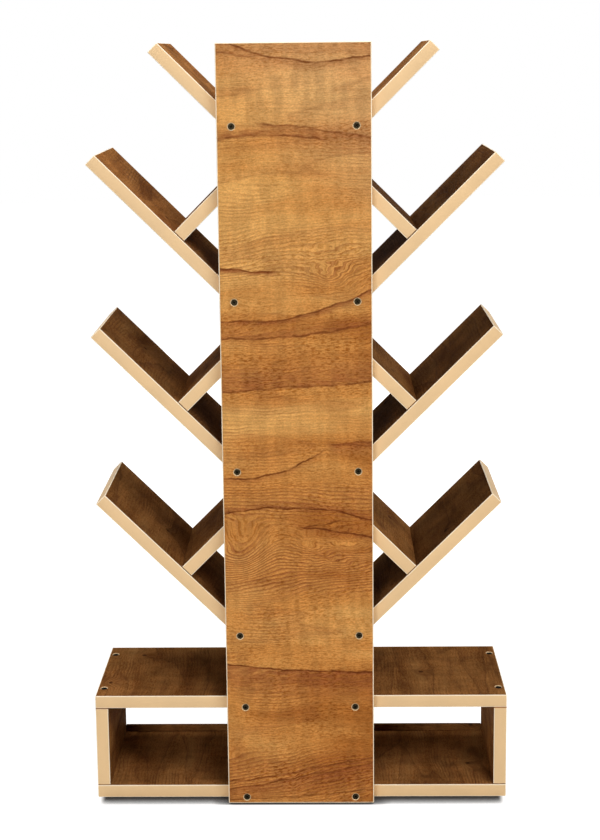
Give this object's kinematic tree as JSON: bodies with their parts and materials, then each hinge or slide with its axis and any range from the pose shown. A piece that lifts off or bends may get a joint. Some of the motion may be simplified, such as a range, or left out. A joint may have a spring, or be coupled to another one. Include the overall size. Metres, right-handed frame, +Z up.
{
  "type": "tree shaped bookshelf",
  "caption": "Free-standing bookshelf shaped like a tree: an upright trunk panel with tilted V shaped shelf boards behind it and a low open box as its base.",
  "frame": {"origin": "floor level, on the trunk's centre line, midway between the trunk's outer face and the boards' rear edges", "axes": "+Z up; +X to the right seen from the trunk's side; +Y from the trunk towards the boards' rear edges, so the trunk's outer face looks along -Y"},
  "size_m": [0.583, 0.1984, 1.0658],
  "materials": {
    "trunk_laminate": "wood print laminate on particle board, satin, light golden brown",
    "shelf_laminate": "wood print laminate on particle board, satin, dark golden brown",
    "edge_banding": "plain cream plastic edge banding, matt",
    "blackened_steel": "blackened steel, satin"
  },
  "bodies": {
    "root": {"trunk_panel": "trunk_laminate", "base_bottom_board": "shelf_laminate", "base_top_board": "shelf_laminate", "base_side_left": "shelf_laminate", "base_side_right": "shelf_laminate", "base_rear_lip": "shelf_laminate", "tier_1_long_board_left": "shelf_laminate", "tier_1_long_board_right": "shelf_laminate", "tier_1_short_board_left": "shelf_laminate", "tier_1_short_board_right": "shelf_laminate", "tier_2_long_board_left": "shelf_laminate", "tier_2_long_board_right": "shelf_laminate", "tier_2_short_board_left": "shelf_laminate", "tier_2_short_board_right": "shelf_laminate", "tier_3_long_board_left": "shelf_laminate", "tier_3_long_board_right": "shelf_laminate", "tier_3_short_board_left": "shelf_laminate", "tier_3_short_board_right": "shelf_laminate", "tier_4_long_board_left": "shelf_laminate", "tier_4_long_board_right": "shelf_laminate", "trunk_screw_tier_1_left": "blackened_steel", "trunk_screw_tier_1_right": "blackened_steel", "corner_screw_1_front": "blackened_steel", "corner_screw_1_rear": "blackened_steel", "short_board_foot_screw_1_left": "blackened_steel", "short_board_foot_screw_1_right": "blackened_steel", "short_board_head_screw_1_left": "blackened_steel", "short_board_head_screw_1_right": "blackened_steel", "trunk_screw_tier_2_left": "blackened_steel", "trunk_screw_tier_2_right": "blackened_steel", "corner_screw_2_front": "blackened_steel", "corner_screw_2_rear": "blackened_steel", "short_board_foot_screw_2_left": "blackened_steel", "short_board_foot_screw_2_right": "blackened_steel", "short_board_head_screw_2_left": "blackened_steel", "short_board_head_screw_2_right": "blackened_steel", "trunk_screw_tier_3_left": "blackened_steel", "trunk_screw_tier_3_right": "blackened_steel", "corner_screw_3_front": "blackened_steel", "corner_screw_3_rear": "blackened_steel", "short_board_foot_screw_3_left": "blackened_steel", "short_board_foot_screw_3_right": "blackened_steel", "short_board_head_screw_3_left": "blackened_steel", "short_board_head_screw_3_right": "blackened_steel", "trunk_screw_tier_4_left": "blackened_steel", "trunk_screw_tier_4_right": "blackened_steel", "corner_screw_4_front": "blackened_steel", "corner_screw_4_rear": "blackened_steel", "trunk_screw_base_top_left": "blackened_steel", "trunk_screw_base_top_right": "blackened_steel", "trunk_screw_base_bottom_left": "blackened_steel", "trunk_screw_base_bottom_right": "blackened_steel", "base_top_screw_left_front": "blackened_steel", "base_top_screw_left_rear": "blackened_steel", "base_top_screw_right_front": "blackened_steel", "base_top_screw_right_rear": "blackened_steel", "base_bottom_screw_left_front": "blackened_steel", "base_bottom_screw_left_rear": "blackened_steel", "base_bottom_screw_right_front": "blackened_steel", "base_bottom_screw_right_rear": "blackened_steel"}
  },
  "joints": []
}
